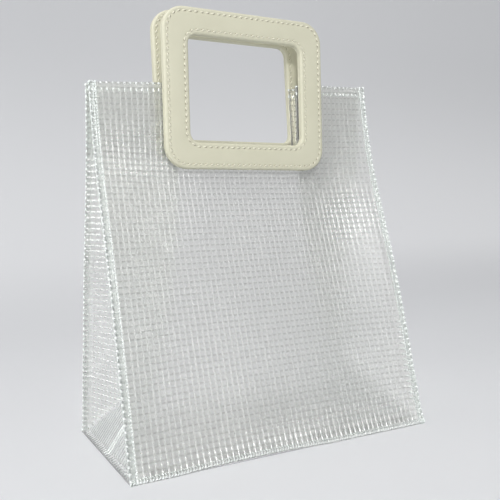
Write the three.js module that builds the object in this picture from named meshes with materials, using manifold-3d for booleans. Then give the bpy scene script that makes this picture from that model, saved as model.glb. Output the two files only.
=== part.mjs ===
// A clear tote bag: grid-film walls with folded side gussets, and two square frame handles.
// Millimetres, +Z up, the front wall faces -Y, origin at the middle of the base.
import * as THREE from 'three';
import { mergeVertices } from 'three/addons/utils/BufferGeometryUtils.js';
import Module from 'manifold-3d';

// Driving dimensions of the film body
const bagWidth = 180;
const bagDepth = 102;
const panelTop = 205; // height of the film's top edge at the middle of the bag
const topRise = 0.05; // the top edge climbs this much per mm towards +X
const levelBelow = 165; // film rows lower than this stay level
const film = 1;
const gap = 0.3;
const seamWidth = 3.5; // welded strip where a gusset lies behind a wall
const seamSetback = 2.1; // a gusset's middle surface behind a wall's outer face, at the welded strip
const foldSetback = 2.6; // the same where a folded half comes near a wall
const seamClimb = 0.97; // height gained per mm along a side seam near the base
const creaseHalf = 1.15; // half the width of the folded edge of a gusset
const baseFlange = 4.5; // height of the base's upturned strips
const baseFlangeHalf = 80;

// Driving dimensions of the handles
const handleWidth = 103;
const handleHeight = 90;
const handleBar = 15;
const handleThickness = 5;
const handleBottom = 154.7;
const handleShift = 1.3; // both handles are sewn on slightly to the right of the middle
const handleStandOff = 3.8; // inner face from the bag's middle plane, at the handle's bottom
const handleLean = 0.028; // outward lean per mm of height
const backHandleRise = 3.4; // the back handle is sewn on this much higher
const handleRadius = 13;
const windowRadius = 5.5;
const edgeRound = 1.3;
const notchRelief = 0.5; // the film's notch stands back this far from the handle's window

// Distance of a wall's outer face from the middle plane, by height:
// along the side edges, and across the middle as far as the handle reaches.
const handlePlane = (height) => handleStandOff - gap + handleLean * (height - handleBottom);
const wallSections = [
  { height: 0, side: 51, middle: 51 },
  { height: 4, side: 49.4, middle: 49 },
  { height: 9, side: 47.8, middle: 46.8 },
  { height: 25, side: 44.4, middle: 42 },
  { height: 50, side: 39, middle: 34.6 },
  { height: 75, side: 33.2, middle: 27 },
  { height: 100, side: 26.8, middle: 19.2 },
  { height: 120, side: 21, middle: 12.8 },
  { height: 135, side: 16.6, middle: 8.2 },
  { height: 144, side: 14, middle: 5.4 },
  { height: 150, side: 12.4, middle: 4.1 },
  { height: 154, side: 11.3, middle: handlePlane(154) },
  { height: levelBelow, side: 8.8, middle: handlePlane(levelBelow) },
  { height: 185, side: 5.6, middle: handlePlane(185) },
  { height: panelTop, side: 3.4, middle: handlePlane(panelTop) },
  { height: panelTop + 10, side: 2.9, middle: handlePlane(panelTop + 10) },
];

const mix = THREE.MathUtils.lerp;
const flatHalf = handleWidth / 2 + 1; // a wall stays flat behind its handle
const halfWidth = bagWidth / 2;
const foldX = halfWidth - seamWidth;

function sectionValue(height, column) {
  const above = wallSections.findIndex((row) => row.height >= height);
  if (above <= 0) return wallSections[0][column];
  const low = wallSections[above - 1];
  const high = wallSections[above];
  const share = (height - low.height) / (high.height - low.height);
  return low[column] + share * (high[column] - low[column]);
}

function wallDistance(x, height) {
  const middle = sectionValue(height, 'middle');
  const side = sectionValue(height, 'side');
  const blend = THREE.MathUtils.smoothstep(Math.abs(x - handleShift), flatHalf, halfWidth - handleShift);
  return middle + blend * (side - middle);
}

// Rows above levelBelow are stretched to meet the climbing top edge.
function lifted(x, height) {
  const stretch = Math.max(0, height - levelBelow) / (panelTop - levelBelow);
  return height + stretch * topRise * x;
}

// A sheet is a list of points and of triangles that face out of the bag.
// patch adds a grid of points, pointAt(column, row), to the sheet.
function patch(sheet, columns, rows, pointAt, flip = false) {
  const first = sheet.points.length;
  for (let row = 0; row <= rows; row += 1) {
    for (let column = 0; column <= columns; column += 1) sheet.points.push(pointAt(column, row));
  }
  for (let row = 0; row < rows; row += 1) {
    for (let column = 0; column < columns; column += 1) {
      const a = first + row * (columns + 1) + column;
      const b = a + 1;
      const c = b + columns + 1;
      const d = a + columns + 1;
      const quad = flip ? [a, c, b, a, d, c] : [a, b, c, a, c, d];
      sheet.triangles.push(...quad);
    }
  }
}

// Joins the patches of a sheet along their shared points, and drops collapsed triangles.
function joined(sheet) {
  const loose = new THREE.BufferGeometry();
  loose.setAttribute('position', new THREE.Float32BufferAttribute(sheet.points.flat(), 3));
  loose.setIndex(sheet.triangles);
  const merged = mergeVertices(loose, 1e-3);
  const index = Array.from(merged.index.array);
  const triangles = [];
  for (let i = 0; i < index.length; i += 3) {
    const [a, b, c] = index.slice(i, i + 3);
    if (a !== b && b !== c && c !== a) triangles.push([a, b, c]);
  }
  const place = merged.getAttribute('position');
  const points = [];
  for (let i = 0; i < place.count; i += 1) points.push(new THREE.Vector3().fromBufferAttribute(place, i));
  return { points, triangles };
}

// Direction at each point that keeps the sheet's thickness even across its folds.
function mitres({ points, triangles }) {
  const faceNormals = triangles.map(([a, b, c]) => {
    const normal = new THREE.Vector3();
    new THREE.Triangle(points[a], points[b], points[c]).getNormal(normal);
    return normal;
  });
  const around = points.map(() => []);
  triangles.forEach((corners, face) => {
    corners.forEach((corner, i) => {
      const toNext = points[corners[(i + 1) % 3]].clone().sub(points[corner]);
      const toLast = points[corners[(i + 2) % 3]].clone().sub(points[corner]);
      around[corner].push({ normal: faceNormals[face], angle: toNext.angleTo(toLast) });
    });
  });
  const steepest = 0.65;
  return around.map((faces) => {
    const mean = new THREE.Vector3();
    faces.forEach(({ normal, angle }) => mean.addScaledVector(normal, angle));
    mean.normalize();
    const least = Math.min(...faces.map(({ normal }) => normal.dot(mean)));
    return mean.divideScalar(Math.max(steepest, least));
  });
}

// Closed solid from a sheet, grown outward and inward from it but not below the bag's base.
function thickened(sheet, outward, inward) {
  const { points, triangles } = joined(sheet);
  const directions = mitres({ points, triangles });
  const count = points.length;
  const skin = (reach) => points.flatMap((p, i) => {
    const [x, y, z] = p.clone().addScaledVector(directions[i], reach).toArray();
    return [x, y, Math.max(0, z)];
  });
  const positions = [...skin(outward), ...skin(-inward)];
  const edges = new Set(triangles.flatMap(([a, b, c]) => [`${a},${b}`, `${b},${c}`, `${c},${a}`]));
  const index = [];
  triangles.forEach(([a, b, c]) => {
    index.push(a, b, c, a + count, c + count, b + count);
    [[a, b], [b, c], [c, a]].forEach(([from, to]) => {
      if (edges.has(`${to},${from}`)) return;
      index.push(to, from, from + count, to, from + count, to + count);
    });
  });
  const geometry = new THREE.BufferGeometry();
  geometry.setAttribute('position', new THREE.Float32BufferAttribute(positions, 3));
  geometry.setIndex(index);
  return geometry;
}

const wasm = await Module();
wasm.setup();

function solidOf(geometry) {
  const bare = geometry.clone();
  bare.deleteAttribute('normal');
  bare.deleteAttribute('uv');
  const merged = mergeVertices(bare, 1e-4);
  const vertProperties = new Float32Array(merged.getAttribute('position').array);
  const triVerts = new Uint32Array(merged.index.array);
  return new wasm.Manifold(new wasm.Mesh({ numProp: 3, vertProperties, triVerts }));
}

function geometryOf(solid) {
  const mesh = solid.getMesh();
  const geometry = new THREE.BufferGeometry();
  geometry.setAttribute('position', new THREE.Float32BufferAttribute(mesh.vertProperties, 3));
  geometry.setIndex(Array.from(mesh.triVerts));
  return geometry;
}

// Rounded rectangle from its lower left corner, drawn into a Shape or a Path.
function roundedOutline(outline, x, y, width, height, radius) {
  outline.moveTo(x + radius, y);
  outline.lineTo(x + width - radius, y);
  outline.absarc(x + width - radius, y + radius, radius, -Math.PI / 2, 0);
  outline.lineTo(x + width, y + height - radius);
  outline.absarc(x + width - radius, y + height - radius, radius, 0, Math.PI / 2);
  outline.lineTo(x + radius, y + height);
  outline.absarc(x + radius, y + height - radius, radius, Math.PI / 2, Math.PI);
  outline.lineTo(x, y + radius);
  outline.absarc(x + radius, y + radius, radius, Math.PI, Math.PI * 1.5);
  return outline;
}

const arcSegments = 6;
const windowWidth = handleWidth - 2 * handleBar;
const windowBottom = handleBottom + handleBar;

// The film is cut away from the handle's window up to the top edge.
function notchCutter() {
  const width = windowWidth + 2 * notchRelief;
  const left = handleShift - width / 2;
  const bottom = windowBottom - notchRelief;
  const outline = roundedOutline(new THREE.Shape(), left, bottom, width, handleHeight, windowRadius);
  const cutter = new THREE.ExtrudeGeometry(
    outline, { depth: bagDepth, bevelEnabled: false, curveSegments: arcSegments });
  return cutter.translate(0, 0, -bagDepth / 2).rotateX(Math.PI / 2);
}

// Front (facing -1) or back (facing 1) wall.
function wallGeometry(facing) {
  const flatSteps = 4;
  const curvedSteps = 6;
  const rightColumns = [halfWidth];
  for (let i = curvedSteps; i > 0; i -= 1) rightColumns.unshift(mix(flatHalf, foldX, i / curvedSteps));
  for (let i = flatSteps; i >= 0; i -= 1) rightColumns.unshift(mix(0, flatHalf, i / flatSteps));
  const columns = [...rightColumns.slice(1).reverse().map((x) => -x), ...rightColumns];
  const heights = wallSections.map((row) => row.height).filter((height) => height <= panelTop);
  const sheet = { points: [], triangles: [] };
  const pointAt = (column, row) => {
    const x = columns[column];
    const z = lifted(x, heights[row]);
    return [x, facing * wallDistance(x, z), z];
  };
  patch(sheet, columns.length - 1, heights.length - 1, pointAt, facing > 0);
  return geometryOf(solidOf(thickened(sheet, 0, film)).subtract(solidOf(notchCutter())));
}

// Where a gusset's middle surface leaves the welded strip, and where its crease lies.
const seamY = (height) => sectionValue(height, 'side') - seamSetback;
const gussetBottom = film + gap + film / 2;
const gussetHalf = seamY(gussetBottom) - creaseHalf;
const creaseDepth = (height) => {
  const reach = seamY(height) - creaseHalf;
  return Math.sqrt(Math.max(0, gussetHalf ** 2 - reach ** 2));
};

// The base triangle leans in until its apex meets the crease of the fold above it.
function apexHeight() {
  let height = gussetBottom;
  const step = 0.05;
  while (height - gussetBottom < seamY(height) - creaseHalf) height += step;
  return height;
}

// Left (side -1) or right (side 1) gusset: welded strips, two folded halves, the crease and
// the leaning triangle at its foot. The halves keep clear of the walls that they fold against.
function gussetGeometry(side) {
  const apex = apexHeight();
  const apexDepth = creaseDepth(apex);
  const seamAtApex = gussetBottom + gussetHalf * seamClimb;
  const footRows = 6;
  const foldRows = 12;
  const halfColumns = 7;
  const seamHeight = (row) => (row <= footRows
    ? mix(gussetBottom, seamAtApex, row / footRows)
    : mix(seamAtApex, panelTop, (row - footRows) / foldRows));
  // Inner end of a half on the front or back: up the triangle's edge, then up the crease.
  const innerPoint = (row, facing) => {
    if (row <= footRows) {
      const share = row / footRows;
      const y = mix(seamY(gussetBottom), creaseHalf, share);
      return [foldX - apexDepth * share, facing * y, mix(gussetBottom, apex, share)];
    }
    const height = mix(apex, panelTop, (row - footRows) / foldRows);
    return [foldX - creaseDepth(height), facing * creaseHalf, height];
  };
  const placed = ([x, y, height]) => {
    const z = lifted(side * x, height);
    const setback = x < foldX ? foldSetback : seamSetback;
    const reach = Math.min(Math.abs(y), wallDistance(x, z) - setback);
    return [side * x, Math.sign(y) * reach, z];
  };
  const sheet = { points: [], triangles: [] };
  [-1, 1].forEach((facing) => {
    const turned = side * facing < 0;
    const seamPoint = (row, x) => [x, facing * seamY(seamHeight(row)), seamHeight(row)];
    const stripAt = (column, row) => placed(seamPoint(row, column === 0 ? foldX : halfWidth));
    const halfAt = (column, row) => {
      const outer = seamPoint(row, foldX);
      const inner = innerPoint(row, facing);
      return placed(inner.map((value, axis) => mix(value, outer[axis], column / halfColumns)));
    };
    patch(sheet, 1, footRows + foldRows, stripAt, turned);
    patch(sheet, halfColumns, footRows + foldRows, halfAt, turned);
  });
  const footColumns = 4;
  const footAt = (column, row) => {
    const back = innerPoint(row, 1);
    const front = innerPoint(row, -1);
    return placed(back.map((value, axis) => mix(value, front[axis], column / footColumns)));
  };
  const creaseAt = (column, row) => placed(innerPoint(footRows + row, column === 0 ? 1 : -1));
  patch(sheet, footColumns, footRows, footAt, side > 0);
  patch(sheet, 1, foldRows, creaseAt, side > 0);
  return thickened(sheet, film / 2, film / 2);
}

// Flat floor with a strip turned up behind the front and back walls.
function baseGeometry() {
  const middle = film / 2;
  const strip = (height) => sectionValue(height, 'middle') - seamSetback - gap;
  const profile = [
    { y: -strip(baseFlange), z: baseFlange },
    { y: -strip(middle), z: middle },
    { y: 0, z: middle },
    { y: strip(middle), z: middle },
    { y: strip(baseFlange), z: baseFlange },
  ];
  const columns = [-halfWidth, -baseFlangeHalf, 0, baseFlangeHalf, halfWidth];
  const sheet = { points: [], triangles: [] };
  const floorAt = (column, row) => [columns[column], profile[row + 1].y, middle];
  patch(sheet, columns.length - 1, 2, floorAt, true);
  [0, 3].forEach((first) => {
    const stripAt = (column, row) => [columns[column + 1], profile[first + row].y, profile[first + row].z];
    patch(sheet, columns.length - 3, 1, stripAt, true);
  });
  return thickened(sheet, film / 2, film / 2);
}

// Rounded square ring with soft edges, standing behind its own inner face.
function handleGeometry() {
  const ring = roundedOutline(
    new THREE.Shape(), edgeRound - handleWidth / 2, edgeRound,
    handleWidth - 2 * edgeRound, handleHeight - 2 * edgeRound, handleRadius - edgeRound);
  ring.holes.push(roundedOutline(
    new THREE.Path(), -windowWidth / 2 - edgeRound, handleBar - edgeRound,
    windowWidth + 2 * edgeRound, handleHeight - 2 * handleBar + 2 * edgeRound, windowRadius + edgeRound));
  const solid = new THREE.ExtrudeGeometry(ring, {
    depth: handleThickness - 2 * edgeRound,
    bevelThickness: edgeRound,
    bevelSize: edgeRound,
    bevelSegments: 3,
    curveSegments: arcSegments,
  });
  return solid.translate(0, 0, edgeRound).rotateX(Math.PI / 2);
}

const clearFilm = new THREE.MeshStandardMaterial({
  color: 0xdfe6e2, roughness: 0.18, metalness: 0, transparent: true, opacity: 0.4, side: THREE.DoubleSide,
});
const creamLeather = new THREE.MeshStandardMaterial({ color: 0xd6d3bd, roughness: 0.6, metalness: 0 });

const bag = new THREE.Group();

function addPiece(name, geometry, material) {
  const piece = new THREE.Mesh(geometry, material);
  piece.name = name;
  bag.add(piece);
  return piece;
}

addPiece('front_panel', wallGeometry(-1), clearFilm);
addPiece('back_panel', wallGeometry(1), clearFilm);
addPiece('left_gusset', gussetGeometry(-1), clearFilm);
addPiece('right_gusset', gussetGeometry(1), clearFilm);
addPiece('base_panel', baseGeometry(), clearFilm);

// The handle's geometry faces -Y, so the back one is turned half round.
[['front_handle', -1, 0], ['back_handle', 1, backHandleRise]].forEach(([name, facing, rise]) => {
  const handle = addPiece(name, handleGeometry(), creamLeather);
  handle.position.set(handleShift, facing * (handleStandOff + handleLean * rise), handleBottom + rise);
  handle.rotation.set(Math.atan(handleLean), 0, facing > 0 ? Math.PI : 0, 'ZXY');
});

export default bag;
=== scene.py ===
# Clear tote bag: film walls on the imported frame, yarns inside them, welded edges and sewn handles
import bpy
import bmesh
import math
from mathutils import Matrix, Vector


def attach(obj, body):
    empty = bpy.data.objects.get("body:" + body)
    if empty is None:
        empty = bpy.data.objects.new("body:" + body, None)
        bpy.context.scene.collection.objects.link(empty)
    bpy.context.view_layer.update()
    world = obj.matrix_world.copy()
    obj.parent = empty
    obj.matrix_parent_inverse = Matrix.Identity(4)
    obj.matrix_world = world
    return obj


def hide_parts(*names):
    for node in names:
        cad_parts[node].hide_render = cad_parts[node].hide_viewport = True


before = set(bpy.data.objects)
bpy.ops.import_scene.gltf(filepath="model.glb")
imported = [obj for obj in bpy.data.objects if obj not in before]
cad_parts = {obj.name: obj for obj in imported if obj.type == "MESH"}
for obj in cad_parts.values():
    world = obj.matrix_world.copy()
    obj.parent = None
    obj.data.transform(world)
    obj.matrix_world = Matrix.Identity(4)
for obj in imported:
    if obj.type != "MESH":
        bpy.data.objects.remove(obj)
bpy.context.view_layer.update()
scene = bpy.context.scene
scene.view_settings.view_transform = "Standard"
scene.cycles.transparent_max_bounces = 96  # a sight line crosses many clear layers
mm = 0.001
print("frame loaded")


# Materials

class Value:  # a shader socket that takes part in Python sums
    def __init__(self, paint, socket):
        self.paint = paint
        self.socket = socket

    def math(self, operation, first, second=0.0):
        return self.paint.add("ShaderNodeMath", {"operation": operation}, {0: first, 1: second})

    def __add__(self, other):
        return self.math("ADD", self, other)

    def __sub__(self, other):
        return self.math("SUBTRACT", self, other)

    def __rsub__(self, other):
        return self.math("SUBTRACT", other, self)

    def __mul__(self, other):
        return self.math("MULTIPLY", self, other)

    __radd__ = __add__
    __rmul__ = __mul__


class Paint:  # one material and the nodes that make it
    def __init__(self, name):
        self.material = bpy.data.materials.new(name)
        self.material.use_nodes = True
        self.tree = self.material.node_tree
        self.tree.nodes.clear()
        self.output = self.tree.nodes.new("ShaderNodeOutputMaterial")

    def add(self, kind, settings=None, sockets=None, take=0):
        node = self.tree.nodes.new(kind)
        for key, value in (settings or {}).items():
            setattr(node, key, value)
        for key, value in (sockets or {}).items():
            if isinstance(value, Value):
                self.tree.links.new(value.socket, node.inputs[key])
            else:
                node.inputs[key].default_value = value
        return Value(self, node.outputs[take])

    def uv(self):
        return self.add("ShaderNodeUVMap", {"uv_map": "weave"})

    def place(self):
        return self.add("ShaderNodeTexCoord", take="Object")

    def part(self, vector, axis):
        return self.add("ShaderNodeSeparateXYZ", sockets={"Vector": vector}, take=axis)

    def noise(self, vector, scale):
        return self.add("ShaderNodeTexNoise", sockets={"Vector": vector, "Scale": scale}, take="Fac")

    def wave(self, value):  # 0 to 1 and back for every whole step of value
        return self.add("ShaderNodeMath", {"operation": "COSINE"}, {0: value * (2 * math.pi)}) * -0.5 + 0.5

    def ramp(self, value, low, high):  # 0 at low, 1 at high, eased between
        return self.add("ShaderNodeMapRange", {"interpolation_type": "SMOOTHSTEP"}, {
            "Value": value, "From Min": low, "From Max": high})

    def blend(self, factor, first, second):
        return self.add("ShaderNodeMix", {"data_type": "RGBA"}, {0: factor, 6: first, 7: second}, take=2)

    def bump(self, height, strength, distance):
        return self.add("ShaderNodeBump", sockets={"Height": height, "Strength": strength, "Distance": distance})

    def finish(self, shader):
        self.tree.links.new(shader.socket, self.output.inputs["Surface"])
        return self.material


# Frosted film: part of the light scatters through it, so what lies far behind is only a soft haze
def frostedFilm(name, look):
    paint = Paint(name)
    flat, place = paint.uv(), paint.place()
    height = paint.part(place, 2)
    cloud = paint.noise(place, look["cloudScale"])
    cells = paint.wave(paint.part(flat, 0)) * paint.wave(paint.part(flat, 1))
    colour = paint.blend(cloud, look["low"], look["high"])
    for start, full, tone in look["bands"]:  # another tone from one height to the other
        colour = paint.blend(paint.ramp(height, start, full), colour, tone)
    skin = paint.add("ShaderNodeBsdfPrincipled", sockets={
        "Base Color": colour, "Roughness": cloud * look["roughSpread"] + look["rough"],
        "Normal": paint.bump(cells + cloud * look["cloudBump"], look["bump"], look["bumpDepth"]),
        "Transmission Weight": look["through"], "IOR": look["ior"],
        "Coat Weight": look["coat"], "Coat Roughness": look["coatRough"]})
    clear = paint.add("ShaderNodeBsdfTransparent", sockets={"Color": look["shadow"]})
    lampRay = paint.add("ShaderNodeLightPath", take="Is Shadow Ray")  # lamps shine through the film
    return paint.finish(paint.add("ShaderNodeMixShader", sockets={0: lampRay, 1: skin, 2: clear}))


# Clear yarn: part of the light goes straight through, the rest meets a milky skin, painted whiter and made
# glossier in a few spots and along the foot as a painted glint
def clearYarn(name, look):
    paint = Paint(name)
    place = paint.place()
    cloud = paint.noise(place, look["cloudScale"])
    milky = paint.blend(cloud, look["milkLow"], look["milkHigh"])
    across, height = paint.part(place, 0), paint.part(place, 2)
    dull = paint.ramp(height, *glossAndPaintedGlints["footBand"])
    for x, z, wide, tall, strength in glossAndPaintedGlints["spots"]:
        dx, dz = (across - x) * (1 / wide), (height - z) * (1 / tall)
        dull = dull * (1.0 - strength * (1.0 - paint.ramp(dx * dx + dz * dz, 0.0, glossAndPaintedGlints["fadeOut"])))
    paintedGlintAndGloss = 1.0 - dull
    swell = paint.add("ShaderNodeAttribute", {"attribute_name": "swell"}, take="Fac")
    beaded = paint.ramp(swell, *glossAndPaintedGlints["beadSwell"]) * (1 - glossAndPaintedGlints["beadLow"]) + glossAndPaintedGlints["beadLow"]
    share = look["share"]
    if "fade" in look:  # the painted light fades towards the foot
        share = paint.ramp(height, *look["fade"]) * (share - look["lowShare"]) + look["lowShare"]
    # painted glint: extra milky white in the spots and the foot band
    body = paintedGlintAndGloss * beaded * look["paintedGlintShare"] + share + (cloud - 0.5) * look["cloud"]
    skin = paint.add("ShaderNodeBsdfPrincipled", sockets={
        "Base Color": milky, "Roughness": cloud * look["roughSpread"] + dull * look["dull"] + look["rough"],
        "Metallic": paintedGlintAndGloss * look["shineMetal"] + look["metal"]})
    clear = paint.add("ShaderNodeBsdfTransparent", sockets={"Color": look["tint"]})
    factor = paint.add("ShaderNodeClamp", sockets={"Value": body})
    mixed = paint.add("ShaderNodeMixShader", sockets={0: factor, 1: clear, 2: skin})
    lampRay = paint.add("ShaderNodeLightPath", take="Is Shadow Ray")
    lit = paint.add("ShaderNodeBsdfTransparent", sockets={"Color": look["shadow"]})
    return paint.finish(paint.add("ShaderNodeMixShader", sockets={0: lampRay, 1: mixed, 2: lit}))


filmLook = {
    "low": (0.945, 0.942, 0.934, 1), "high": (0.961, 0.958, 0.95, 1), "cloudScale": 30.0,
    "rough": 0.44, "roughSpread": 0.1, "bump": 0.1, "cloudBump": 0.3, "bumpDepth": 0.0003,
    "ior": 1.28, "through": 0.985,
    "coat": 0.25, "coatRough": 0.28, "shadow": (0.985, 0.988, 0.986, 1), "bands": [],
}
# painted shade: the gussets' film is a darker copy of the walls' film; the right gusset's is darker still towards
# the foot
gussetFilmLook = dict(filmLook, low=(0.925, 0.925, 0.916, 1), high=(0.941, 0.941, 0.932, 1),
                      bands=[(0.09, 0.05, (0.91, 0.91, 0.9, 1))])
sideFilmLook = dict(gussetFilmLook, bands=[  # the left gusset, which faces the light: painted lighter low down, and painted darker at the top, where it lies folded between the walls
    (0.13, 0.06, (0.975, 0.977, 0.972, 1)), (0.15, 0.175, (0.905, 0.908, 0.896, 1))])
weldLook = {
    "low": (0.91, 0.945, 0.925, 1), "high": (0.97, 0.985, 0.975, 1), "cloudScale": 90.0,
    "rough": 0.25, "roughSpread": 0.15, "bump": 0.6, "cloudBump": 0.3, "bumpDepth": 0.0003,
    "ior": 1.35, "through": 0.92,
    "coat": 0.3, "coatRough": 0.15, "shadow": (0.96, 0.97, 0.965, 1), "bands": [],
}
# painted glints, in metres: the foot's band by height, and spots by centre, half size across and up, and
# strength; there the yarns' skin is painted whiter and made glossier
glossAndPaintedGlints = {
    "footBand": (0.008, 0.024), "fadeOut": 1.5,
    "beadSwell": (0.45, 0.95), "beadLow": 0.2,  # the painted glint is weakest where the yarns are thin
    "spots": [
        (-0.068, 0.164, 0.028, 0.017, 0.7), (-0.06, 0.145, 0.034, 0.036, 0.35),
        (0.072, 0.128, 0.026, 0.022, 0.65), (0.05, 0.105, 0.024, 0.032, 0.5),
        (-0.05, 0.05, 0.04, 0.045, 0.25),
    ],
}
# the uprights' milky white is partly painted highlight, standing for the light their ribs catch
uprightLook = {
    "tint": (0.985, 0.986, 0.983, 1), "milkLow": (0.9, 0.91, 0.9, 1), "milkHigh": (0.97, 0.98, 0.97, 1),
    "share": 0.085, "paintedGlintShare": 0.3, "cloud": 0.05, "cloudScale": 45.0,
    "rough": 0.15, "roughSpread": 0.06, "dull": 0.35,
    "metal": 0.08, "shineMetal": 0.25, "shadow": (0.96, 0.962, 0.96, 1),
}
plainLook = dict(uprightLook, share=0.05, paintedGlintShare=0.0, metal=0.05, shineMetal=0.0)  # behind the front wall, without the painted glints
# painted shade: the cross yarns' darker tint and grey skin stand for the dark their ribs show by refraction
crossLook = {
    "tint": (0.87, 0.872, 0.866, 1), "milkLow": (0.52, 0.53, 0.52, 1), "milkHigh": (0.7, 0.71, 0.7, 1),
    "share": 0.05, "paintedGlintShare": 0.0, "cloud": 0.04, "cloudScale": 45.0,
    "rough": 0.15, "roughSpread": 0.06, "dull": 0.2,
    "metal": 0.1, "shineMetal": 0.0, "shadow": (0.95, 0.953, 0.952, 1),
}
paleCrossLook = dict(crossLook, tint=(0.96, 0.961, 0.957, 1))  # a paler copy of the cross yarn: painted light on the gussets' front halves, which are seen edge on
# painted light: a whiter copy of the cross yarn for the left gusset's back half, which faces the lamps
sideCrossLook = {
    "tint": (0.86, 0.868, 0.866, 1), "milkLow": (0.88, 0.89, 0.88, 1), "milkHigh": (0.98, 0.985, 0.98, 1),
    "share": 0.7, "paintedGlintShare": 0.1, "cloud": 0.2, "cloudScale": 30.0,
    "rough": 0.45, "roughSpread": 0.06, "dull": 0.0,
    "lowShare": 0.27, "fade": (0.07, 0.14), "metal": 0.1, "shineMetal": 0.1, "shadow": (0.94, 0.942, 0.94, 1),
}
pleatLook = dict(sideCrossLook, share=0.16, lowShare=0.16, paintedGlintShare=0.0, cloud=0.1)
# milky white beads for the welds and the creases, partly painted highlight
sparkLook = {
    "tint": (0.96, 0.975, 0.965, 1), "milkLow": (0.82, 0.87, 0.84, 1), "milkHigh": (0.97, 0.985, 0.975, 1),
    "share": 0.8, "paintedGlintShare": 0.0, "cloud": 0.4, "cloudScale": 160.0,
    "rough": 0.12, "roughSpread": 0.06, "dull": 0.0,
    "metal": 0.1, "shineMetal": 0.0, "shadow": (0.95, 0.96, 0.955, 1),
}
rimLook = dict(sparkLook, share=0.28, cloud=0.1, rough=0.4, metal=0.0)
# painted contact shadow: a dark grey line round the base where it meets the floor
contactShadowLook = {
    "tint": (0.86, 0.858, 0.868, 1), "milkLow": (0.42, 0.416, 0.43, 1), "milkHigh": (0.52, 0.516, 0.53, 1),
    "share": 0.15, "paintedGlintShare": 0.0, "cloud": 0.1, "cloudScale": 60.0,
    "rough": 0.4, "roughSpread": 0.06, "dull": 0.0,
    "metal": 0.0, "shineMetal": 0.0, "shadow": (0.9, 0.9, 0.9, 1),
}


def creamLeather(look):
    paint = Paint("creamLeather")
    place = paint.place()
    mottle = paint.noise(place, look["mottleScale"])
    grain = paint.add("ShaderNodeTexVoronoi", {"feature": "F1"}, {"Vector": place, "Scale": look["grainScale"]})
    pores = paint.noise(place, look["poreScale"])
    colour = paint.blend(mottle, look["shade"], look["light"])
    hide = grain * look["grainShare"] + pores * (1 - look["grainShare"])
    skin = paint.add("ShaderNodeBsdfPrincipled", sockets={
        "Base Color": colour, "Roughness": pores * look["roughSpread"] + look["rough"],
        "Normal": paint.bump(hide, look["bump"], look["bumpDepth"])})
    return paint.finish(skin)


def sewingThread(name, low, high):
    paint = Paint(name)
    twist = paint.noise(paint.place(), threadLook["twistScale"])
    skin = paint.add("ShaderNodeBsdfPrincipled", sockets={
        "Base Color": paint.blend(twist, low, high),
        "Roughness": twist * threadLook["roughSpread"] + threadLook["rough"],
        "Normal": paint.bump(twist, threadLook["bump"], threadLook["bumpDepth"])})
    return paint.finish(skin)


leatherLook = {
    "shade": (0.59, 0.575, 0.44, 1), "light": (0.655, 0.64, 0.5, 1), "mottleScale": 60.0,
    "grainScale": 1500.0, "poreScale": 2600.0, "grainShare": 0.7,
    "bump": 0.25, "bumpDepth": 0.0002, "rough": 0.42, "roughSpread": 0.2,
}
threadLook = {
    "twistScale": 1400.0, "bump": 0.5, "bumpDepth": 0.0002, "rough": 0.5, "roughSpread": 0.2,
    "thread": ((0.68, 0.66, 0.53, 1), (0.78, 0.76, 0.63, 1)),
    # painted shade: the needle holes' dark colours stand for the shade in their dimples
    "hole": ((0.24, 0.215, 0.13, 1), (0.33, 0.295, 0.19, 1)),
}

filmPaint = frostedFilm("clearFilm", filmLook)
gussetFilmPaint = frostedFilm("gussetFilm", gussetFilmLook)
sideFilmPaint = frostedFilm("sideFilm", sideFilmLook)
weldPaint = frostedFilm("weldedEdge", weldLook)
uprightPaint = clearYarn("uprightYarn", uprightLook)
plainPaint = clearYarn("plainYarn", plainLook)
crossPaint = clearYarn("crossYarn", crossLook)
paleCrossPaint = clearYarn("paleCrossYarn", paleCrossLook)
sideCrossPaint = clearYarn("sideCrossYarn", sideCrossLook)
pleatPaint = clearYarn("footPleat", pleatLook)
sparkPaint = clearYarn("weldSpark", sparkLook)
contactShadowPaint = clearYarn("contactShadowLine", contactShadowLook)
rimPaint = clearYarn("meltedRim", rimLook)
leatherPaint = creamLeather(leatherLook)
threadPaint = sewingThread("creamThread", *threadLook["thread"])
holeShadePaint = sewingThread("needleHoleShade", *threadLook["hole"])
print("materials made")


# Shape of the film, in millimetres: it repeats the frame's own sections

bag = {
    "halfWidth": 90.0, "top": 205.0, "topRise": 0.05, "levelBelow": 165.0,
    "seamWidth": 3.5, "seamSetback": 2.1, "foldSetback": 2.6, "seamClimb": 0.97,
    "creaseHalf": 1.15, "gussetBottom": 1.8, "gussetTop": 210.0,
    "film": 0.4, "skinInset": 0.3,  # the film's middle behind the solid's outer face
    "frontLift": 1.3, "liftCentre": -22.0, "liftHalf": 45.0, "liftHeight": 22.0,  # front hem off the floor
}
weave = {
    "acrossPitch": 3.175, "upPitch": 3.22,
    "notchLeft": -35.4, "notchCells": 23, "notchBottom": 169.4,  # yarns at the edges of the notch
    "uprightRadius": 0.62, "crossRadius": 0.58, "uprightSides": 5, "crossSides": 4,
    "uprightSwell": [(0.0, 0.4), (0.5, 1.0)],  # share of a cell, share of the radius
    "crossSwell": [(0.13, 0.2), (0.21, 1.0), (0.79, 1.0), (0.87, 0.2)],
}
handle = {
    "width": 103.0, "height": 90.0, "bar": 15.0, "thick": 5.0, "bottom": 154.7, "shift": 1.3,
    "standOff": 3.8, "lean": 0.028, "backRise": 3.4, "radius": 13.0, "windowRadius": 5.5, "filmGap": 0.3,
    "stitchInset": 2.5, "stitchPitch": 3.5, "stitch": (2.4, 1.0, 0.9), "hole": (1.6, 1.3, 0.4), "slant": 16.0,
    "stitchLevel": 2.42,  # above the bar's middle plane
}


def handlePlane(height):
    return handle["standOff"] - handle["filmGap"] + handle["lean"] * (height - handle["bottom"])


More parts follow.
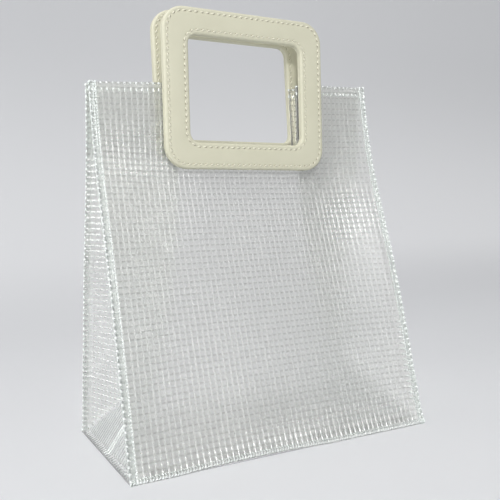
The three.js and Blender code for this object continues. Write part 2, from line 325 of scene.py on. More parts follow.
# a wall's distance from the middle plane: along its side edges, and across its middle
wallSections = [
    {"height": 0, "side": 51, "middle": 51},
    {"height": 4, "side": 49.4, "middle": 49},
    {"height": 9, "side": 47.8, "middle": 46.8},
    {"height": 25, "side": 44.4, "middle": 42},
    {"height": 50, "side": 39, "middle": 34.6},
    {"height": 75, "side": 33.2, "middle": 27},
    {"height": 100, "side": 26.8, "middle": 19.2},
    {"height": 120, "side": 21, "middle": 12.8},
    {"height": 135, "side": 16.6, "middle": 8.2},
    {"height": 144, "side": 14, "middle": 5.4},
    {"height": 150, "side": 12.4, "middle": 4.1},
    {"height": 154, "side": 11.3, "middle": handlePlane(154)},
    {"height": 165, "side": 8.8, "middle": handlePlane(165)},
    {"height": 185, "side": 5.6, "middle": handlePlane(185)},
    {"height": 205, "side": 3.4, "middle": handlePlane(205)},
    {"height": 215, "side": 2.9, "middle": handlePlane(215)},
]


sectionStep = 0.5


def easedColumn(column):  # values at every step of height, on a smooth curve through the rows
    heights = [row["height"] for row in wallSections]
    values = [row[column] for row in wallSections]
    rises = [(values[i + 1] - values[i]) / (heights[i + 1] - heights[i]) for i in range(len(values) - 1)]
    slopes = [rises[0]]
    for before, after in zip(rises, rises[1:]):
        slopes.append(0.0 if before * after <= 0 else 2 * before * after / (before + after))
    slopes.append(rises[-1])
    eased = []
    for k in range(int(heights[-1] / sectionStep) + 1):
        at = k * sectionStep
        i = max(n for n in range(len(rises)) if heights[n] <= at)
        span = heights[i + 1] - heights[i]
        t = (at - heights[i]) / span
        eased.append(values[i] * (1 + 2 * t) * (1 - t) ** 2 + values[i + 1] * t * t * (3 - 2 * t)
                     + span * (slopes[i] * t * (1 - t) ** 2 - slopes[i + 1] * t * t * (1 - t)))
    return eased


easedSections = {column: easedColumn(column) for column in ("side", "middle")}


def sectionValue(height, column):
    values = easedSections[column]
    at = min(max(height / sectionStep, 0.0), len(values) - 1.001)
    k = int(at)
    return values[k] + (at - k) * (values[k + 1] - values[k])


def mix(first, second, share):
    return first + (second - first) * share


def smoothStep(value, low, high):
    t = min(max((value - low) / (high - low), 0.0), 1.0)
    return t * t * (3 - 2 * t)


flatHalf = handle["width"] / 2 + 1
foldX = bag["halfWidth"] - bag["seamWidth"]


def wallDistance(x, height):
    middle = sectionValue(height, "middle")
    share = smoothStep(abs(x - handle["shift"]), flatHalf, bag["halfWidth"] - handle["shift"])
    return mix(middle, sectionValue(height, "side"), share)


def lifted(x, height):  # rows above levelBelow stretch to meet the climbing top edge
    share = max(0.0, height - bag["levelBelow"]) / (bag["top"] - bag["levelBelow"])
    return height + share * bag["topRise"] * x


def wallSurface(facing):
    def point(x, height):
        z = lifted(x, height)
        y = facing * (wallDistance(x, z) - bag["skinInset"])
        if facing < 0:  # the front hem stands a little off the floor
            near = max(0.0, 1 - ((x - bag["liftCentre"]) / bag["liftHalf"]) ** 2)
            z += bag["frontLift"] * near * max(0.0, 1 - max(height, 0.0) / bag["liftHeight"]) ** 2
        return Vector((x, y, z))
    return point


def seamY(height):
    return sectionValue(height, "side") - bag["seamSetback"]


gussetHalf = seamY(bag["gussetBottom"]) - bag["creaseHalf"]
gussetEdge = gussetHalf + bag["creaseHalf"]


def creaseDepth(height):
    return math.sqrt(max(0.0, gussetHalf ** 2 - (seamY(height) - bag["creaseHalf"]) ** 2))


apexHeight = bag["gussetBottom"]
while apexHeight - bag["gussetBottom"] < seamY(apexHeight) - bag["creaseHalf"]:
    apexHeight += 0.05
apexDepth = creaseDepth(apexHeight)
seamAtApex = bag["gussetBottom"] + gussetHalf * bag["seamClimb"]


# A gusset by its flat cloth: across from the crease, front below 0, and up from the base
def gussetSurface(side):
    def point(across, up):
        facing = 1 if across > 0 else -1
        reach = abs(across)
        low = min(max(up, 0.0), gussetHalf) / gussetHalf
        high = max(0.0, up - gussetHalf) / (bag["gussetTop"] - gussetHalf)
        footX = foldX - apexDepth * up / gussetHalf
        footZ = bag["gussetBottom"] + (apexHeight - bag["gussetBottom"]) * up / gussetHalf
        if up < gussetHalf and reach <= gussetEdge - up:  # the leaning triangle at the foot
            return Vector((side * footX, across, footZ))
        seamZ = mix(bag["gussetBottom"], seamAtApex, low) if high == 0 else mix(seamAtApex, bag["top"], high)
        if up < 0:
            seamZ += up
        if high == 0:
            innerReach = gussetEdge - low * gussetHalf
            inner = Vector((footX, innerReach, footZ))
        else:
            innerReach = bag["creaseHalf"]
            creaseZ = mix(apexHeight, bag["top"], high)
            inner = Vector((foldX - creaseDepth(creaseZ), innerReach, creaseZ))
        outer = Vector((foldX, seamY(seamZ), seamZ))
        if reach > gussetEdge:  # the welded strip behind a wall
            place = outer + Vector((reach - gussetEdge, 0, 0))
        elif reach <= innerReach:
            place = Vector((inner.x, reach, inner.z))
        else:
            place = inner.lerp(outer, (reach - innerReach) / max(gussetEdge - innerReach, 1e-6))
        z = lifted(side * place.x, place.z)
        setback = bag["foldSetback"] if place.x < foldX else bag["seamSetback"]
        y = min(place.y, wallDistance(side * place.x, z) - setback)
        return Vector((side * place.x, facing * y, z))
    return point


base = {
    "level": 0.5, "strip": 4.0, "turnIn": 0.35, "turnUp": 0.93, "stripHalf": 80.0,  # strips turned up
    "rimInset": 0.2, "rimOut": 1.2, "rimRadius": 0.45, "rimSides": 6, "rimSteps": 20,  # painted contact shadow
}
baseEdge = sectionValue(base["level"], "middle") - bag["seamSetback"] - handle["filmGap"]


def basePoint(x, across):  # the floor, with a strip turned up along its front and back
    reach = abs(across)
    rise = max(0.0, reach - baseEdge)
    y = min(reach, baseEdge) - rise * base["turnIn"]
    return Vector((x, math.copysign(y, across), base["level"] + rise * base["turnUp"]))


def onSurface(surface, a, b, out=0.0, turn=1):
    if not out:
        return surface(a, b) * mm
    step = 0.3
    alongA = surface(a + step, b) - surface(a - step, b)
    alongB = surface(a, b + step) - surface(a, b - step)
    return (surface(a, b) + alongA.cross(alongB).normalized() * (turn * out)) * mm


# Film: a thin closed sheet over a list of cuts each way, with the weave as its UV map
def filmSheet(name, surface, cutsA, cutsB, paint, turn, keep=None, smooth=True,
              out=0.0, thick=bag["film"], pitch=weave["acrossPitch"]):
    half = thick / 2
    number = {}
    points = []
    flat = []

    def corner(i, j, layer):
        key = (i, j, layer)
        if key not in number:
            number[key] = len(points)
            points.append(onSurface(surface, cutsA[i], cutsB[j], out + half * layer, turn))
            flat.append(((cutsA[i] - cutsA[1]) / pitch, (cutsB[j] - cutsB[1]) / pitch))
        return number[key]

    kept = {(i, j) for i in range(len(cutsA) - 1) for j in range(len(cutsB) - 1)
            if keep is None or keep((cutsA[i] + cutsA[i + 1]) / 2, (cutsB[j] + cutsB[j + 1]) / 2)}
    faces = []
    rims = set()
    for i, j in sorted(kept):
        ring = [(i, j), (i + 1, j), (i + 1, j + 1), (i, j + 1)]
        faces.append([corner(*at, 1) for at in ring])
        faces.append([corner(*at, -1) for at in reversed(ring)])
        beside = [(i, j - 1), (i + 1, j), (i, j + 1), (i - 1, j)]
        for side in range(4):
            if beside[side] not in kept:  # an open edge gets a wall
                first, second = ring[side], ring[(side + 1) % 4]
                rims.add(len(faces))
                faces.append([corner(*second, 1), corner(*first, 1), corner(*first, -1), corner(*second, -1)])
    if turn < 0:
        faces = [face[::-1] for face in faces]
    mesh = bpy.data.meshes.new(name)
    mesh.from_pydata(points, [], faces)
    layer = mesh.uv_layers.new(name="weave")
    for loop in mesh.loops:
        layer.data[loop.index].uv = flat[loop.vertex_index]
    mesh.materials.append(paint)
    soft = [smooth and k not in rims for k in range(len(faces))]  # rims stay crisp
    mesh.polygons.foreach_set("use_smooth", soft)
    piece = bpy.data.objects.new(name, mesh)
    scene.collection.objects.link(piece)
    return piece


def node(tree, kind, settings=None, sockets=None):
    made = tree.nodes.new(kind)
    for key, value in (settings or {}).items():
        setattr(made, key, value)
    for key, value in (sockets or {}).items():
        if isinstance(value, bpy.types.NodeSocket):
            tree.links.new(value, made.inputs[key])
        else:
            made.inputs[key].default_value = value
    return made


def nodeTree(name, sizes):
    tree = bpy.data.node_groups.new(name, "GeometryNodeTree")
    tree.interface.new_socket("Geometry", in_out="INPUT", socket_type="NodeSocketGeometry")
    for key, kind in sizes:
        tree.interface.new_socket(key, in_out="INPUT", socket_type=kind)
    tree.interface.new_socket("Geometry", in_out="OUTPUT", socket_type="NodeSocketGeometry")
    return tree, tree.nodes.new("NodeGroupInput").outputs, tree.nodes.new("NodeGroupOutput").inputs


def closeTree(tree, geometry, material, out):  # the last steps are the same for each tree
    real = node(tree, "GeometryNodeRealizeInstances", sockets={"Geometry": geometry})
    smooth = node(tree, "GeometryNodeSetShadeSmooth", sockets={"Geometry": real.outputs[0]})
    painted = node(tree, "GeometryNodeSetMaterial", sockets={"Geometry": smooth.outputs[0], "Material": material})
    tree.links.new(painted.outputs[0], out[0])


# Yarns: a round bar swept along each line of a wire mesh, pinched where it crosses another
def yarnTree():
    tree, given, out = nodeTree("yarn", [
        ("Radius", "NodeSocketFloat"), ("Sides", "NodeSocketInt"), ("Material", "NodeSocketMaterial")])
    curve = node(tree, "GeometryNodeMeshToCurve", sockets={"Mesh": given["Geometry"]})
    swell = node(tree, "GeometryNodeInputNamedAttribute", {"data_type": "FLOAT"}, {"Name": "swell"})
    ring = node(tree, "GeometryNodeCurvePrimitiveCircle", sockets={
        "Resolution": given["Sides"], "Radius": given["Radius"]})
    bar = node(tree, "GeometryNodeCurveToMesh", sockets={
        "Curve": curve.outputs[0], "Profile Curve": ring.outputs[0], "Scale": swell.outputs["Attribute"],
        "Fill Caps": True})
    closeTree(tree, bar.outputs[0], given["Material"], out)
    return tree


# Sewing: a small rounded bead set along a line at even steps, lying on the face
def beadTree():
    tree, given, out = nodeTree("bead", [
        ("Pitch", "NodeSocketFloat"), ("Size", "NodeSocketVector"), ("Slant", "NodeSocketFloat"),
        ("Face", "NodeSocketVector"), ("Material", "NodeSocketMaterial")])
    curve = node(tree, "GeometryNodeMeshToCurve", sockets={"Mesh": given["Geometry"]})
    steps = node(tree, "GeometryNodeCurveToPoints", {"mode": "LENGTH"}, {
        "Curve": curve.outputs[0], "Length": given["Pitch"]})
    along = node(tree, "FunctionNodeAlignRotationToVector", {"axis": "X"}, {"Vector": steps.outputs["Tangent"]})
    upright = node(tree, "FunctionNodeAlignRotationToVector", {"axis": "Z", "pivot_axis": "X"}, {
        "Rotation": along.outputs[0], "Vector": given["Face"]})
    ball = node(tree, "GeometryNodeMeshUVSphere", sockets={"Segments": 8, "Rings": 5, "Radius": 0.5})
    slant = node(tree, "ShaderNodeCombineXYZ", sockets={"Z": given["Slant"]})
    shaped = node(tree, "GeometryNodeTransform", sockets={"Geometry": ball.outputs[0], "Scale": given["Size"]})
    turned = node(tree, "GeometryNodeTransform", sockets={
        "Geometry": shaped.outputs[0], "Rotation": slant.outputs[0]})
    beads = node(tree, "GeometryNodeInstanceOnPoints", sockets={
        "Points": steps.outputs[0], "Instance": turned.outputs[0], "Rotation": upright.outputs[0]})
    closeTree(tree, beads.outputs[0], given["Material"], out)
    return tree


yarn = yarnTree()
bead = beadTree()


# Runs a tree on a wire mesh of lines, and keeps the result as a plain mesh
def grown(name, tree, lines, inputs, swells=None, closed=False):
    points = [p for line in lines for p in line]
    edges = []
    first = 0
    for line in lines:
        edges += [(first + k, first + k + 1) for k in range(len(line) - 1)]
        if closed:
            edges.append((first + len(line) - 1, first))
        first += len(line)
    mesh = bpy.data.meshes.new(name)
    mesh.from_pydata(points, edges, [])
    if swells:
        mesh.attributes.new("swell", "FLOAT", "POINT").data.foreach_set("value", swells)
    piece = bpy.data.objects.new(name, mesh)
    scene.collection.objects.link(piece)
    modifier = piece.modifiers.new("grow", "NODES")
    modifier.node_group = tree
    for item in tree.interface.items_tree:
        if item.in_out == "INPUT" and item.name in inputs:
            modifier[item.identifier] = inputs[item.name]
    bpy.context.view_layer.update()
    evaluated = piece.evaluated_get(bpy.context.evaluated_depsgraph_get())
    final = bpy.data.meshes.new_from_object(evaluated)
    piece.modifiers.remove(modifier)
    piece.data = final
    final.name = name
    bpy.data.meshes.remove(mesh)
    return piece


def swollen(cuts, pattern):  # places along a yarn with its swell: thin at each cut, full between
    steps = [(mix(low, high, share), swell) for low, high in zip(cuts, cuts[1:]) for share, swell in pattern]
    return steps + [(cuts[-1], pattern[0][1])]


# The yarns of one sheet that run one way, upright or across; keep says where the cloth is
def yarnPiece(name, way, surface, cutsA, cutsB, turn, paint, keep=None, plump=None):
    lines = []
    fixed, running = (cutsA, cutsB) if way == "upright" else (cutsB, cutsA)
    for at in fixed[1:-1]:
        line = []
        for step, swell in swollen(running, weave[way + "Swell"]):
            a, b = (at, step) if way == "upright" else (step, at)
            if plump and swell == 1.0:
                swell += plump(a, b)
            if keep is None or keep(a, b):
                line.append((onSurface(surface, a, b, 0.0, turn), swell))
                continue
            if len(line) > 1:
                lines.append(line)
            line = []
        if len(line) > 1:
            lines.append(line)
    swells = [swell for line in lines for _, swell in line]
    lines = [[p for p, _ in line] for line in lines]
    return grown(name, yarn, lines, {
        "Radius": weave[way + "Radius"] * mm, "Sides": weave[way + "Sides"], "Material": paint}, swells)


def evenCuts(low, high, through, pitch):  # the two ends, and yarns at every pitch from one given yarn
    endGap = 0.3 * pitch  # no yarn lies nearer to an end
    first = through - math.floor((through - low - endGap) / pitch) * pitch
    cuts = [low]
    while first < high - endGap:
        cuts.append(first)
        first += pitch
    return cuts + [high]


columnCuts = evenCuts(-bag["halfWidth"], bag["halfWidth"], weave["notchLeft"], weave["acrossPitch"])
rowCuts = evenCuts(0.0, bag["top"], weave["notchBottom"], weave["upPitch"])
notchRight = weave["notchLeft"] + weave["notchCells"] * weave["acrossPitch"]


def inWall(x, height):  # false inside the notch for the handle's window
    slack = 0.05
    return height <= weave["notchBottom"] + slack or not weave["notchLeft"] + slack < x < notchRight - slack


# front cells that puff up and catch the light: centre, half size, and the extra share of a yarn's radius
puff = {"x": 73.0, "height": 128.0, "wide": 22.0, "tall": 19.0, "extra": 0.5}


def puffed(x, height):
    dx, dz = (x - puff["x"]) / puff["wide"], (height - puff["height"]) / puff["tall"]
    return puff["extra"] * math.exp(-dx * dx - dz * dz)


def dress(piece):
    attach(piece, "root")
    return piece


# Pressed dots along the welds: both sides, the foot, and two rows under the top edge; their milky white is partly
# painted highlight
edgeDots = {"size": (1.7, 1.5, 2.2), "pitch": weave["upPitch"], "out": 0.1, "slant": 0.0, "inset": 0.3}
sideDots = {"size": (1.5, 0.9, 0.8), "pitch": weave["upPitch"] / 2, "out": 0.7, "slant": 30.0, "inset": 3.4}
cornerDots = dict(sideDots, inset=2.0, low=bag["levelBelow"])
# painted glints: white dashes near the right edge, where the cross yarns catch the light
edgeGlintDashes = {"size": (0.9, 4.6, 1.3), "pitch": weave["upPitch"], "out": 0.1, "slant": -14.0, "inset": 4.6,
              "low": 14.0, "high": 62.0}
footDots = {"size": (1.9, 0.6, 0.6), "pitch": weave["acrossPitch"] / 2, "out": 0.7, "slant": 45.0, "height": 0.9}
upperFootDots = dict(footDots, slant=-footDots["slant"], height=2.2)
hemDots = {"size": (1.6, 1.2, 1.8), "pitch": weave["acrossPitch"], "out": 0.0, "slant": 0.0,
           "height": bag["top"] - 0.5}
hemDashes = {"size": (0.9, 2.2, 1.6), "pitch": weave["acrossPitch"], "out": 0.0, "slant": 0.0,
             "height": bag["top"] - weave["upPitch"] - 1.2}
edgeX = bag["halfWidth"]


def sideRow(name, side, look):  # up one side of a wall
    low, high = look.get("low", footDots["height"]), look.get("high", bag["top"])
    x = side * (edgeX - look["inset"])
    return name, [(x, height) for height in rowCuts if low <= height <= high], look


def levelRow(name, low, high, look, steps=40):  # along a wall at one height
    return name, [(mix(low, high, k / steps), look["height"]) for k in range(steps + 1)], look


beadRows = [
    sideRow("left_dots", -1, edgeDots),
    sideRow("left_inner_dots", -1, dict(sideDots, slant=-sideDots["slant"])),
    sideRow("right_dots", 1, edgeDots),
    sideRow("right_inner_dots", 1, sideDots),
    sideRow("left_corner_dots", -1, cornerDots),
    sideRow("right_glint_dashes", 1, edgeGlintDashes),
    levelRow("foot_dots", -edgeX, edgeX, footDots),
    levelRow("foot_upper_dots", -edgeX, edgeX, upperFootDots),
    levelRow("hem_left_dots", -edgeX, weave["notchLeft"], hemDots),
    levelRow("hem_right_dots", notchRight, edgeX, hemDots),
    levelRow("hem_left_dashes", -edgeX, weave["notchLeft"], hemDashes),
    levelRow("hem_right_glint_dashes", notchRight, edgeX, hemDashes),
]

# Walls
rim = {"reach": edgeX - 0.1, "radius": 0.42, "sides": 6}  # melted bead along each side edge
weld = {"out": 0.4, "thick": 0.1, "pitch": 1.6}  # a second layer of film where the sides are welded
faceTilt = 0.25  # how far the walls' faces look up
weldCuts = [edgeX - bag["seamWidth"], edgeX - bag["seamWidth"] / 2, edgeX]
for name, facing in (("front_panel", -1), ("back_panel", 1)):
    surface = wallSurface(facing)
    turn = -facing
    wall = dress(filmSheet(name + "_film", surface, columnCuts, rowCuts, filmPaint, turn, keep=inWall))
    upright = (uprightPaint, puffed) if facing < 0 else (plainPaint, None)
    for way, paint, plump in (("upright", *upright), ("cross", crossPaint, None)):
        dress(yarnPiece(
            f"{name}_{way}_yarns", way, surface, columnCuts, rowCuts, turn, paint, inWall, plump))
    for stripName, cuts in (("left_weld", [-x for x in reversed(weldCuts)]), ("right_weld", weldCuts)):
        dress(filmSheet(f"{name}_{stripName}", surface, cuts, rowCuts, weldPaint, turn, **weld))
    for rimName, x in (("left_rim", -rim["reach"]), ("right_rim", rim["reach"])):
        line = [onSurface(surface, x, height, 0.0, turn) for height in rowCuts]
        dress(grown(f"{name}_{rimName}", yarn, [line], {
            "Radius": rim["radius"] * mm, "Sides": rim["sides"], "Material": rimPaint}, [1.0] * len(line)))
    for rowName, line, look in beadRows:
        points = [onSurface(surface, a, b, look["out"], turn) for a, b in line]
        row = grown(f"{name}_{rowName}", bead, [points], {
            "Pitch": look["pitch"] * mm, "Size": tuple(s * mm for s in look["size"]),
            "Slant": math.radians(look["slant"]), "Face": (0.0, facing, faceTilt), "Material": sparkPaint})
        dress(row)
    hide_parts(name)
    print(name, "made")

# Gussets
gussetWide = gussetEdge + bag["seamWidth"]
gussetCutsA = evenCuts(-gussetWide, gussetWide, weave["acrossPitch"] / 2, weave["acrossPitch"])
firstRow = 3.0  # lowest cross yarn of a gusset
gussetCutsB = evenCuts(0.0, bag["gussetTop"], firstRow, weave["upPitch"])
creaseLines = {"reach": 1.5, "top": 32.0, "radius": 0.25, "out": 0.3, "steps": 10, "paint": sparkPaint}
footPleats = {"pitch": weave["acrossPitch"], "radius": 0.3, "out": 0.25, "steps": 6, "paint": pleatPaint}
footStart = {"inset": 0.6, "height": 1.0}  # where creases and pleats begin, at the base's edge
footMargin = 1.0  # between the foot's pleats and the yarns around them
foldedFrom = bag["levelBelow"]  # above this a gusset lies flat between the walls


def aboveFoot(across, up):  # no cross yarns show on the pressed triangle at the foot
    return up >= gussetHalf + footMargin or abs(across) > gussetEdge - up + footMargin


# Even bars pressed into the film, each from the base's edge up to its own top
def ridges(name, surface, side, look, spans):
    lines = []
    for across, top in spans:
        lines.append([Vector((side * (edgeX - footStart["inset"]), across, footStart["height"])) * mm])
        for k in range(look["steps"] + 1):
            lines[-1].append(onSurface(surface, across, top * k / look["steps"], look["out"], side))
    return grown(name, yarn, lines, {
        "Radius": look["radius"] * mm, "Sides": rim["sides"], "Material": look["paint"]},
        [1.0] * sum(map(len, lines)))


for name, side in (("left_gusset", -1), ("right_gusset", 1)):
    surface = gussetSurface(side)
    filmHere = sideFilmPaint if side < 0 else gussetFilmPaint
    sheet = dress(filmSheet(name + "_film", surface, gussetCutsA, gussetCutsB, filmHere, side, smooth=False))
    halves = [  # the left gusset's back half faces the lamps, and its cross yarns are painted lighter
        ("front_cross", "cross", paleCrossPaint, lambda across, up: across < 0 and aboveFoot(across, up)),
        ("back_cross", "cross", sideCrossPaint if side < 0 else crossPaint,
         lambda across, up: across >= 0 and up < foldedFrom and aboveFoot(across, up)),
        ("top_cross", "cross", crossPaint, lambda across, up: across >= 0 and up >= foldedFrom),
        ("upright", "upright", plainPaint, None),
    ]
    for kind, way, paint, keep in halves:
        dress(yarnPiece(
            f"{name}_{kind}_yarns", way, surface, gussetCutsA, gussetCutsB, side, paint, keep))
    creases = [(sign * creaseLines["reach"], creaseLines["top"]) for sign in (-1, 1)]
    dress(ridges(name + "_creases", surface, side, creaseLines, creases))
    pleatCount = int(gussetEdge / footPleats["pitch"])
    pleats = [(k * footPleats["pitch"], gussetEdge - abs(k) * footPleats["pitch"] - footMargin)
              for k in range(-pleatCount + 1, pleatCount)]
    dress(ridges(name + "_foot_pleats", surface, side, footPleats, pleats))
    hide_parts(name)
    2 * gussetWide * mm
    print(name, "made")

# Base
baseWide = baseEdge + base["strip"]
baseCutsB = evenCuts(-baseWide, baseWide, weave["acrossPitch"] / 2, weave["acrossPitch"])


def inBase(x, across):  # the turned-up strips stop short of the gussets
    return abs(across) <= baseEdge + 0.1 or abs(x) < base["stripHalf"]


def inBaseCloth(x, across):  # yarns end at the gussets' feet
    return inBase(x, across) and abs(x) < foldX


def contactShadowLine():  # a dark line along the base's outline, a painted contact shadow on the floor
    reachX, reachY, steps = edgeX - base["rimInset"], baseEdge + base["rimOut"], base["rimSteps"]
    corners = [Vector((x, y, base["rimRadius"])) * mm for x, y in (
        (-reachX, -reachY), (reachX, -reachY), (reachX, reachY), (-reachX, reachY))]
    loop = []
    for corner, following in zip(corners, corners[1:] + corners[:1]):
        loop += [corner.lerp(following, step / steps) for step in range(steps)]
    return loop


floorFilm = dress(filmSheet("base_panel_film", basePoint, columnCuts, baseCutsB, filmPaint, -1, keep=inBase))
for way, paint in (("upright", plainPaint), ("cross", crossPaint)):
    dress(yarnPiece(
        f"base_panel_{way}_yarns", way, basePoint, columnCuts, baseCutsB, -1, paint, inBaseCloth))
outline = contactShadowLine()
dress(grown("base_panel_contact_shadow", yarn, [outline], {
    "Radius": base["rimRadius"] * mm, "Sides": base["rimSides"], "Material": contactShadowPaint},
    [1.0] * len(outline), closed=True))
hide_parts("base_panel")
2 * baseWide * mm
print("base made")


# Handles: a soft-edged ring whose faces dip along the sewing

# inset from the nearest edge of the bar, and level above the bar's middle plane
barProfile = [
    {"inset": 0.28, "level": 0.0},
    {"inset": 0.05, "level": 0.22},
    {"inset": 0.0, "level": 0.9},
    {"inset": 0.12, "level": 1.6},
    {"inset": 0.45, "level": 2.1},
    {"inset": 0.95, "level": 2.38},
    {"inset": 1.6, "level": 2.48},
    {"inset": 2.1, "level": 2.42},
    {"inset": 2.5, "level": 2.26},
    {"inset": 2.9, "level": 2.4},
    {"inset": 3.6, "level": 2.5},
    {"inset": 5.2, "level": 2.56},
    {"inset": 7.5, "level": 2.58},
]


def roundedLoop(width, height, radius, arcSteps=10, sideSteps=10):
    loop = []
    corners = [(1, -1, -90), (1, 1, 0), (-1, 1, 90), (-1, -1, 180)]
    for k, (sx, sy, start) in enumerate(corners):
        centre = Vector((sx * (width / 2 - radius), sy * (height / 2 - radius)))
        for step in range(arcSteps + 1):
            angle = math.radians(start + 90 * step / arcSteps)
            loop.append(centre + radius * Vector((math.cos(angle), math.sin(angle))))
        nextX, nextY, _ = corners[(k + 1) % 4]
        target = Vector((nextX * (width / 2 - radius), nextY * (height / 2 - radius)))
        angle = math.radians(start + 90)
        target = target + radius * Vector((math.cos(angle), math.sin(angle)))
        last = loop[-1]
        loop += [last.lerp(target, step / sideSteps) for step in range(1, sideSteps)]
    return loop


def barLoop(inset, outerHalf):  # the outline at an inset from the outer edge, or from the window's edge
    if outerHalf:
        return roundedLoop(handle["width"] - 2 * inset, handle["height"] - 2 * inset, handle["radius"] - inset)
    hole = 2 * handle["bar"] - 2 * inset
    return roundedLoop(handle["width"] - hole, handle["height"] - hole, handle["windowRadius"] + inset)


def handlePlacer(facing):  # from the ring's own plane to the bag
    lean = math.atan(handle["lean"])
    rise = handle["backRise"] if facing > 0 else 0.0
    standOff = handle["standOff"] + handle["lean"] * rise
    foot = Vector((handle["shift"], facing * standOff, handle["bottom"] + rise))
    up = Vector((0, facing * math.sin(lean), math.cos(lean)))
    outward = Vector((0, facing * math.cos(lean), -math.sin(lean)))

    def placed(flatPoint, level):
        x, y = flatPoint
        height = y + handle["height"] / 2
        return (foot + Vector((x, 0, 0)) + up * height + outward * (level + handle["thick"] / 2)) * mm
    return placed, outward


def handleRing(name, facing):
    placed, _ = handlePlacer(facing)
    half = [(row["inset"], row["level"]) for row in barProfile]
    middle = half[-1]
    section = [(inset, level, True) for inset, level in half[:-1]]
    section += [(middle[0], middle[1], None)]
    section += [(inset, level, False) for inset, level in reversed(half[:-1])]
    backLevel = handle["thick"] / 2
    section += [(inset, -min(level, backLevel), False) for inset, level in half[1:-1]]
    section += [(middle[0], -backLevel, None)]
    section += [(inset, -min(level, backLevel), True) for inset, level in reversed(half[1:-1])]
    rings = []
    for inset, level, outerHalf in section:
        if outerHalf is None:
            loop = [(a + b) / 2 for a, b in zip(barLoop(inset, True), barLoop(inset, False))]
        else:
            loop = barLoop(inset, outerHalf)
        rings.append([placed(p, level) for p in loop])
    count = len(rings[0])
    points = [p for ring in rings for p in ring]
    faces = []
    for r in range(len(rings)):
        following = (r + 1) % len(rings)
        for k in range(count):
            after = (k + 1) % count
            faces.append([r * count + k, r * count + after, following * count + after, following * count + k])
    mesh = bpy.data.meshes.new(name)
    mesh.from_pydata(points, [], faces)
    work = bmesh.new()
    work.from_mesh(mesh)
    bmesh.ops.recalc_face_normals(work, faces=work.faces)
    work.to_mesh(mesh)
    work.free()
    mesh.materials.append(leatherPaint)
    mesh.polygons.foreach_set("use_smooth", [True] * len(mesh.polygons))
    piece = bpy.data.objects.new(name, mesh)
    scene.collection.objects.link(piece)
    return piece


for name, facing in (("front_handle", -1), ("back_handle", 1)):
    ring = dress(handleRing(name + "_ring", facing))
    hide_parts(name)
    placed, outward = handlePlacer(facing)
    grooves = [barLoop(handle["stitchInset"], outerHalf) for outerHalf in (True, False)]
    for faceName, sign in (("outer", 1), ("inner", -1)):
        level = sign * handle["stitchLevel"]
        lines = [[placed(p, level) for p in loop] for loop in grooves]
        # the needle holes are dark beads lying on the face, painted shade for the dimples
        for kind, size, slant, paint in (
                ("stitches", handle["stitch"], handle["slant"], threadPaint),
                ("holes", handle["hole"], 0.0, holeShadePaint)):
            if kind == "holes":  # between one stitch and the next
                lines = [[line[k - 1].lerp(line[k], 0.5) for k in range(len(line))] for line in lines]
            piece = grown(f"{name}_{faceName}_{kind}", bead, lines, {
                "Pitch": handle["stitchPitch"] * mm, "Size": tuple(s * mm for s in size),
                "Slant": math.radians(slant * sign), "Face": tuple(outward * sign),
                "Material": paint}, closed=True)
            dress(piece)
    print(name, "made")


# Stage: a pale floor that curves up into the backdrop, partly lit from within like a light tent
stageLook = {
    "paper": (0.5, 0.503, 0.51, 1), "glowFloor": (0.21, 0.213, 0.22, 1),
    "glowBend": (0.268, 0.271, 0.278, 1), "glowTop": (0.15, 0.153, 0.16, 1), "bendTop": 0.1, "top": 0.65,
    "sideLift": 0.06, "liftFrom": 0.0, "liftTo": 0.7,  # the right of the backdrop glows a little more
    "grainScale": 8.0, "grain": 0.02, "rough": 0.7,
    "floor": (-1.4, -0.4, 0.2), "bend": 0.45, "bendRadius": 0.7, "bendSteps": 16, "height": 2.2, "halfWidth": 2.4,
}


def stagePaint():
    paint = Paint("paleStage")
    place = paint.place()
    height = paint.part(place, 2)
    grain = paint.noise(place, stageLook["grainScale"]) * stageLook["grain"]
    rising = paint.ramp(height, 0.0, stageLook["bendTop"])
    lower = paint.blend(rising, stageLook["glowFloor"], stageLook["glowBend"])
    upper = paint.blend(paint.ramp(height, stageLook["bendTop"], stageLook["top"]), lower, stageLook["glowTop"])
    beside = paint.ramp(paint.part(place, 0), stageLook["liftFrom"], stageLook["liftTo"])
    lift = beside * rising * stageLook["sideLift"]
    glow = paint.blend(lift, upper, (1.0, 1.0, 1.0, 1))
    skin = paint.add("ShaderNodeBsdfPrincipled", sockets={
        "Base Color": stageLook["paper"], "Roughness": grain + stageLook["rough"], "Emission Color": glow,
        "Emission Strength": 1.0})
    return paint.finish(skin)


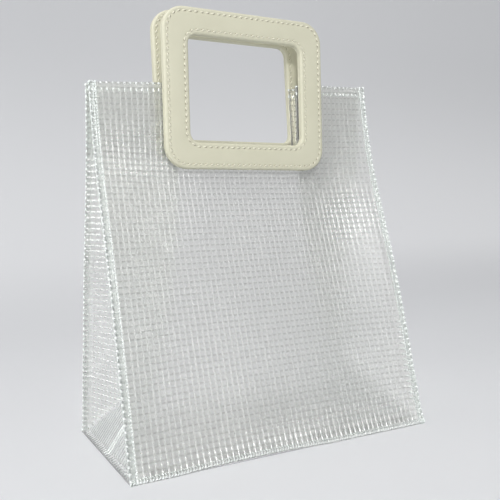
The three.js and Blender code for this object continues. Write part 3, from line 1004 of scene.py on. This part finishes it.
def stageSheet():
    profile = [(y, 0.0) for y in stageLook["floor"]]
    radius, steps = stageLook["bendRadius"], stageLook["bendSteps"]
    for step in range(steps + 1):
        angle = math.radians(90 * step / steps)
        profile.append((stageLook["bend"] + radius * math.sin(angle), radius * (1 - math.cos(angle))))
    profile.append((stageLook["bend"] + radius, stageLook["height"]))
    points = [(x, y, z) for y, z in profile for x in (-stageLook["halfWidth"], stageLook["halfWidth"])]
    faces = [(2 * k, 2 * k + 1, 2 * k + 3, 2 * k + 2) for k in range(len(profile) - 1)]
    mesh = bpy.data.meshes.new("floor")
    mesh.from_pydata(points, [], faces)
    mesh.materials.append(stagePaint())
    mesh.polygons.foreach_set("use_smooth", [True] * len(mesh.polygons))
    piece = bpy.data.objects.new("floor", mesh)
    scene.collection.objects.link(piece)
    return piece


stageSheet()


# Light and camera
studio = {"Color": (0.97, 0.98, 1.0, 1), "Strength": 0.5}
world = bpy.data.worlds.new("studio")
world.use_nodes = True
for key, value in studio.items():
    world.node_tree.nodes["Background"].inputs[key].default_value = value
scene.world = world

lamps = {  # place, aim, width, height, watts
    "keyBox": ((-0.42, -1.0, 0.62), (0.0, 0.0, 0.12), 0.2, 0.16, 4.7),
    "topBox": ((-0.32, -0.2, 1.25), (-0.05, 0.0, 0.1), 0.8, 0.8, 4.5),
    "leftBox": ((-1.1, -0.35, 0.5), (0.0, 0.0, 0.12), 0.3, 0.6, 5.0),
}
for name, (place, aim, width, height, watts) in lamps.items():
    light = bpy.data.lights.new(name, "AREA")
    light.shape = "RECTANGLE"
    light.size = width
    light.size_y = height
    light.energy = watts
    lamp = bpy.data.objects.new(name, light)
    lamp.location = place
    lamp.rotation_euler = (Vector(aim) - Vector(place)).to_track_quat("-Z", "Y").to_euler()
    scene.collection.objects.link(lamp)

view = {  # place in millimetres, turns in degrees
    "place": (-173.2, -345.3, 116.3), "yaw": 27.12, "pitch": -1.35, "roll": -2.21,
    "lens": 46.4, "sensor": 36.0, "nearest": 0.01,
}
yaw, pitch, roll = (math.radians(view[key]) for key in ("yaw", "pitch", "roll"))
ahead = Vector((math.sin(yaw) * math.cos(pitch), math.cos(yaw) * math.cos(pitch), math.sin(pitch)))
right = Vector((math.cos(yaw), -math.sin(yaw), 0))
above = right.cross(ahead)
rolledRight = right * math.cos(roll) + above * math.sin(roll)
rolledUp = above * math.cos(roll) - right * math.sin(roll)
cameraData = bpy.data.cameras.new("camera")
cameraData.lens = view["lens"]
cameraData.sensor_width = view["sensor"]
cameraData.clip_start = view["nearest"]
camera = bpy.data.objects.new("camera", cameraData)
turn = Matrix((rolledRight, rolledUp, -ahead)).transposed().to_4x4()
camera.matrix_world = Matrix.Translation(Vector(view["place"]) * mm) @ turn
scene.collection.objects.link(camera)
scene.camera = camera
print("stage, light and camera set")
